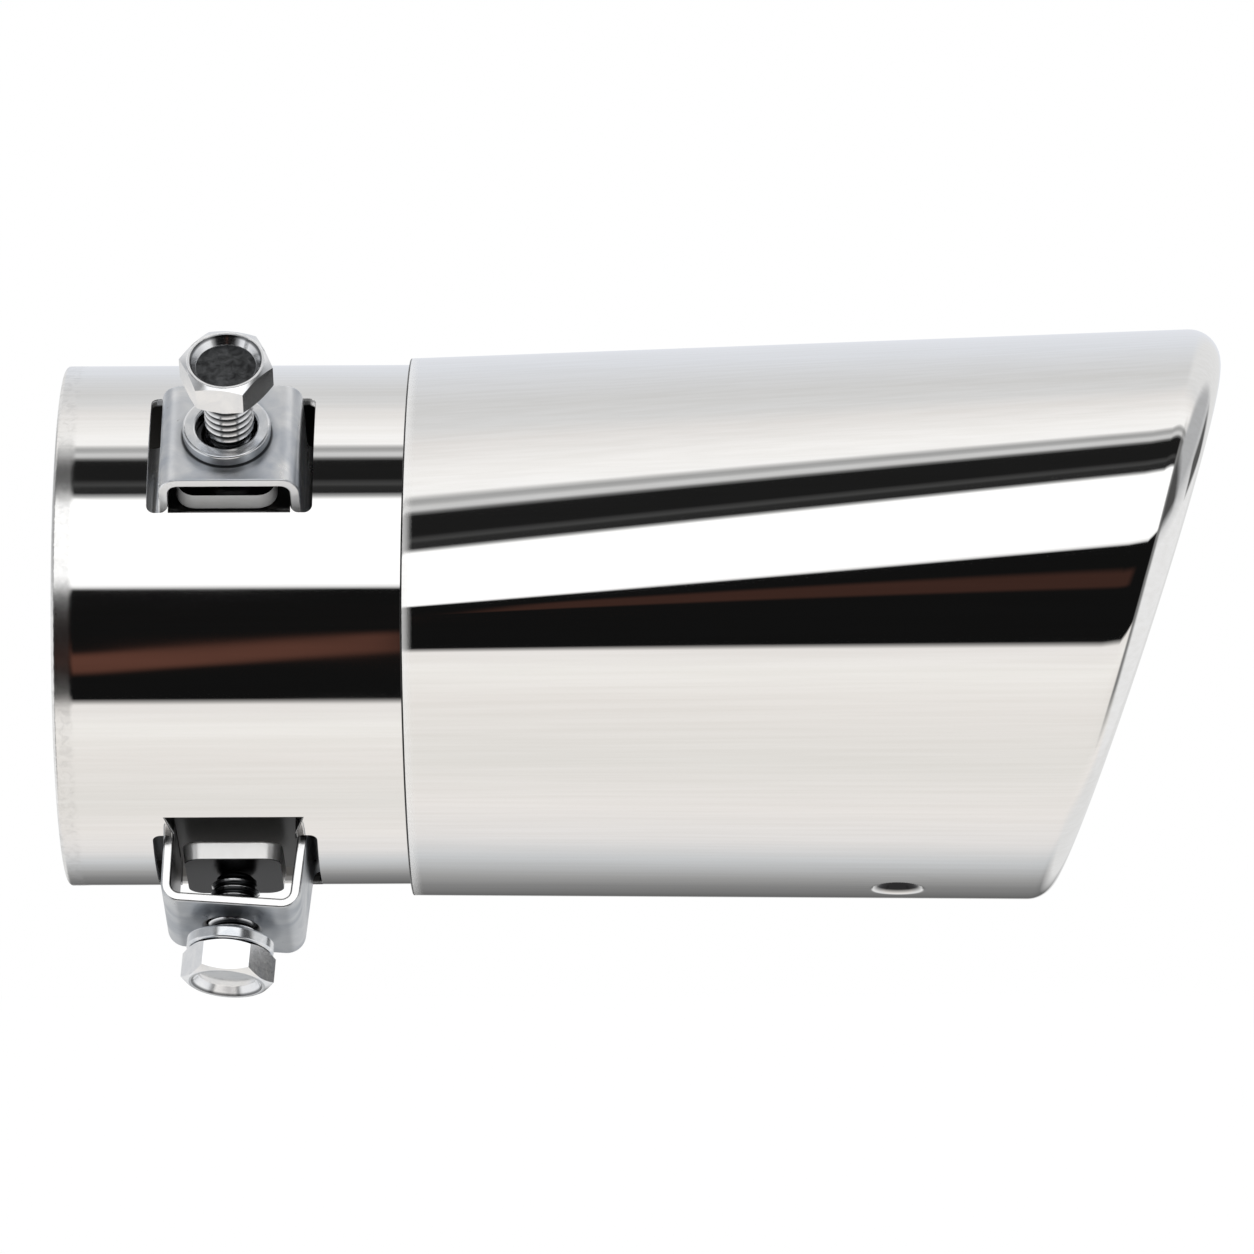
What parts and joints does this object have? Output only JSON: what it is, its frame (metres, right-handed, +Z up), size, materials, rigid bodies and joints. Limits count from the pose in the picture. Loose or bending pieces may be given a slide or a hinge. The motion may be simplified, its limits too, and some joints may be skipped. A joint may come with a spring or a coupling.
{
  "type": "exhaust tip",
  "caption": "Polished steel exhaust tip: round neck with screw clamps to grip a tail pipe, inside an oval slash-cut sleeve with a rolled lip.",
  "frame": {"origin": "centre of the neck's inlet face", "axes": "+X along the neck to the outlet, +Z up, -Y towards the near side of the picture"},
  "size_m": [0.1395, 0.0879, 0.0801],
  "materials": {
    "neck": "polished",
    "sleeve": "polished",
    "bracket": "satin zinc plate",
    "bolt": "bright zinc plate",
    "washer": "bright zinc plate",
    "pad": "polished"
  },
  "bodies": {
    "tip": {"neck_tube": "neck", "outer_sleeve": "sleeve", "lower_bracket": "bracket", "upper_pad": "pad"},
    "upper_screw": {"upper_bolt": "bolt"},
    "upper_clamp": {"upper_bracket": "bracket", "upper_washer": "washer"},
    "lower_foot": {"lower_pad": "pad"},
    "lower_screw": {"lower_bolt": "bolt", "lower_washer": "washer"}
  },
  "joints": [
    {"name": "upper_screw_turn", "type": "hinge", "parent": "tip", "child": "upper_screw", "pos_m": [0.02095, -0.02597, 0.02346], "axis": [0, -0.742, 0.6704], "range_deg": [-2056, 4]},
    {"name": "upper_clamp_slide", "type": "slide", "parent": "tip", "child": "upper_clamp", "axis": [0, -0.742, 0.6704], "range_m": [0, 0.0057]},
    {"name": "lower_foot_slide", "type": "slide", "parent": "tip", "child": "lower_foot", "axis": [-0.075, -0.3864, -0.9193], "range_m": [-0.0009, 0.0035]},
    {"name": "lower_screw_turn", "type": "hinge", "parent": "lower_foot", "child": "lower_screw", "pos_m": [0.0206, -0.01223, -0.03278], "axis": [-0.075, -0.3864, -0.9193], "range_deg": [-328, 1264]}
  ],
  "couplings": [
    {"joint": "upper_screw_turn", "follows": "upper_clamp_slide", "rad_per_m": -6283.2},
    {"joint": "lower_screw_turn", "follows": "lower_foot_slide", "rad_per_m": 6283.2}
  ]
}
